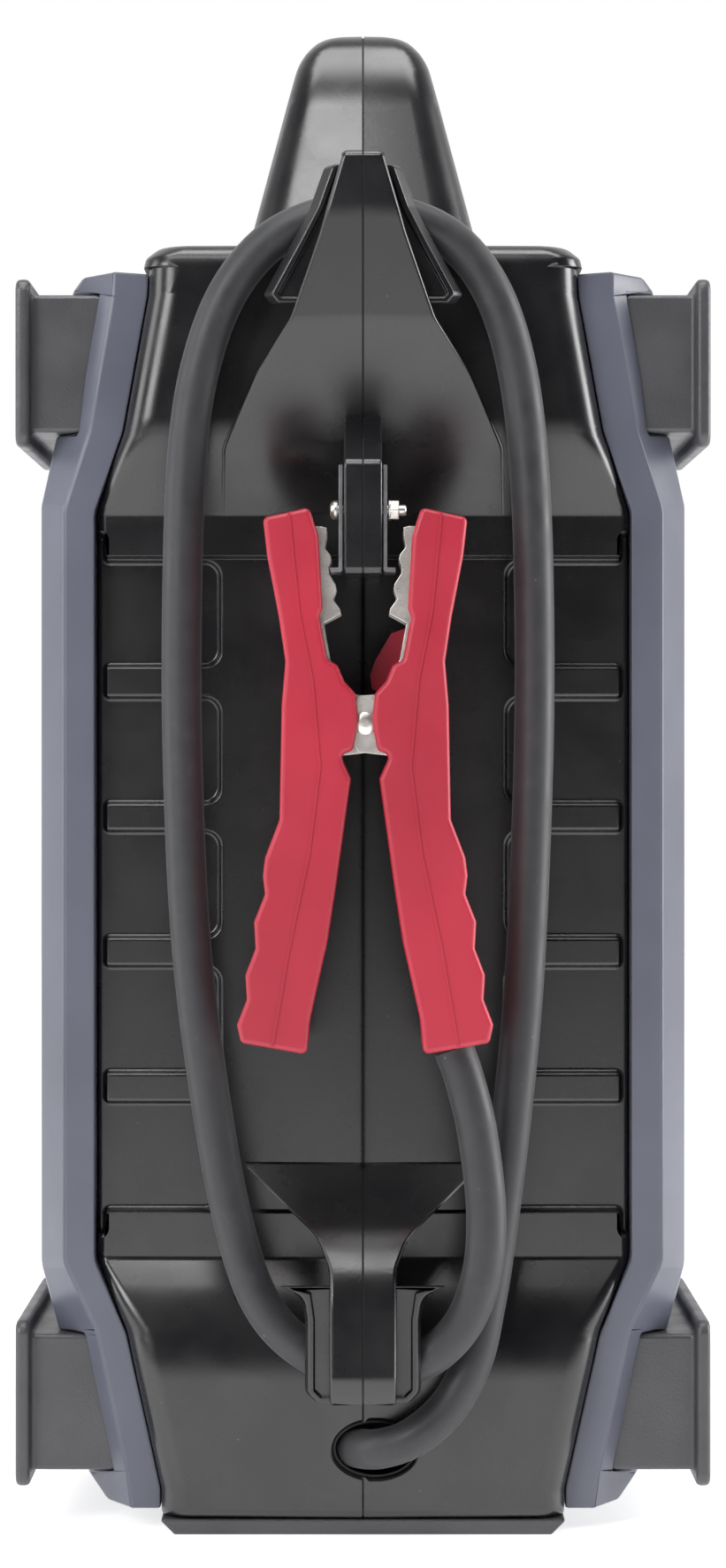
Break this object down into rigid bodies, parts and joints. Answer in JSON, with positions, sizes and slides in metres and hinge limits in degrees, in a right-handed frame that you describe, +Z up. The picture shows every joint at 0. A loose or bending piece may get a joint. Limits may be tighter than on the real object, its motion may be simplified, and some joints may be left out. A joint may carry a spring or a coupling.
{
  "type": "jump starter pack",
  "caption": "Upright battery jump starter: black two-half case with a carry handle, grey covers, corner feet, winding hooks and a clamp stored on its holder.",
  "frame": {"origin": "centre of the footprint, on the underside of the base pad", "axes": "+Z up through the handle, +X towards the front control panel, -Y towards the end with the stored cable and clamp"},
  "size_m": [0.1988, 0.3412, 0.435],
  "materials": {
    "case_black": "satin black moulded plastic, fine spark texture",
    "cover_grey": "blue-grey moulded plastic, satin",
    "foot_rubber": "black moulded bumper with a fine leather grain",
    "clamp_red": "crimson moulded grip, semi-gloss",
    "bright_steel": "zinc plated steel",
    "cable_black": "matte black rubber cable jacket",
    "rubber_trim": "black rubber",
    "battery_case": "dark grey battery case",
    "terminal_lead": "plated terminal metal",
    "board_green": "green circuit board",
    "window_dark": "dark display window, gloss",
    "lamp_clear": "clear ribbed lens",
    "panel_black": "matt black panel",
    "knob_red": "red switch knob"
  },
  "bodies": {
    "root": {"front_shell": "case_black", "rear_shell": "case_black", "front_cover": "cover_grey", "rear_cover": "cover_grey", "base_pad": "foot_rubber", "near_cable_grommet": "rubber_trim", "far_cable_grommet": "rubber_trim", "lamp_lens": "lamp_clear", "lamp_board": "board_green", "clamp_right_half": "clamp_red", "clamp_right_jaw": "bright_steel", "clamp_pivot_pin": "bright_steel", "clamp_spring": "bright_steel", "positive_cable": "cable_black", "battery": "battery_case", "battery_terminal_positive": "terminal_lead", "battery_terminal_negative": "terminal_lead", "battery_strap": "bright_steel", "battery_link": "terminal_lead", "main_fuse": "panel_black", "control_board": "board_green", "control_panel": "panel_black", "display_window": "window_dark", "switch_body": "panel_black", "power_socket": "panel_black", "usb_socket": "bright_steel", "charge_inlet": "panel_black", "foot_front_upper_left": "foot_rubber", "foot_front_upper_right": "foot_rubber", "foot_front_lower_left": "foot_rubber", "foot_front_lower_right": "foot_rubber", "foot_rear_upper_left": "foot_rubber", "foot_rear_upper_right": "foot_rubber", "foot_rear_lower_left": "foot_rubber", "foot_rear_lower_right": "foot_rubber", "near_holder_bolt": "bright_steel", "near_holder_nut": "bright_steel", "near_holder_plate_left": "bright_steel", "near_holder_plate_right": "bright_steel", "far_holder_bolt": "bright_steel", "far_holder_nut": "bright_steel", "far_holder_plate_left": "bright_steel", "far_holder_plate_right": "bright_steel"},
    "clamp_left": {"clamp_left_half": "clamp_red", "clamp_left_jaw": "bright_steel"},
    "test_button": {"test_button": "rubber_trim"},
    "light_button": {"light_button": "rubber_trim"},
    "switch_knob": {"switch_knob": "knob_red"},
    "power_socket_cap": {"power_socket_cap": "rubber_trim"},
    "usb_cap": {"usb_cap": "rubber_trim"},
    "charge_cap": {"charge_cap": "rubber_trim"}
  },
  "joints": [
    {"name": "clamp_open", "type": "hinge", "parent": "root", "child": "clamp_left", "pos_m": [0.0006, -0.1581, 0.2298], "axis": [0, -1, 0], "range_deg": [0, 15], "stiffness_Nm_per_rad": 4, "springref_deg": -20.05},
    {"name": "test_press", "type": "slide", "parent": "root", "child": "test_button", "axis": [-1, 0, 0], "range_m": [0, 0.0015], "stiffness_N_per_m": 1200, "springref_m": -0.0005},
    {"name": "light_press", "type": "slide", "parent": "root", "child": "light_button", "axis": [-1, 0, 0], "range_m": [0, 0.0015], "stiffness_N_per_m": 1200, "springref_m": -0.0005},
    {"name": "switch_turn", "type": "hinge", "parent": "root", "child": "switch_knob", "pos_m": [0.0936, 0.036, 0.222], "axis": [1, 0, 0], "range_deg": [0, 90]},
    {"name": "power_socket_cap_hinge", "type": "hinge", "parent": "root", "child": "power_socket_cap", "pos_m": [0.0955, -0.04, 0.167], "axis": [0, -1, 0], "range_deg": [0, 110]},
    {"name": "usb_cap_hinge", "type": "hinge", "parent": "root", "child": "usb_cap", "pos_m": [0.0955, 0.008, 0.159], "axis": [0, -1, 0], "range_deg": [0, 110]},
    {"name": "charge_cap_hinge", "type": "hinge", "parent": "root", "child": "charge_cap", "pos_m": [0.0955, 0.048, 0.1615], "axis": [0, -1, 0], "range_deg": [0, 110]}
  ]
}
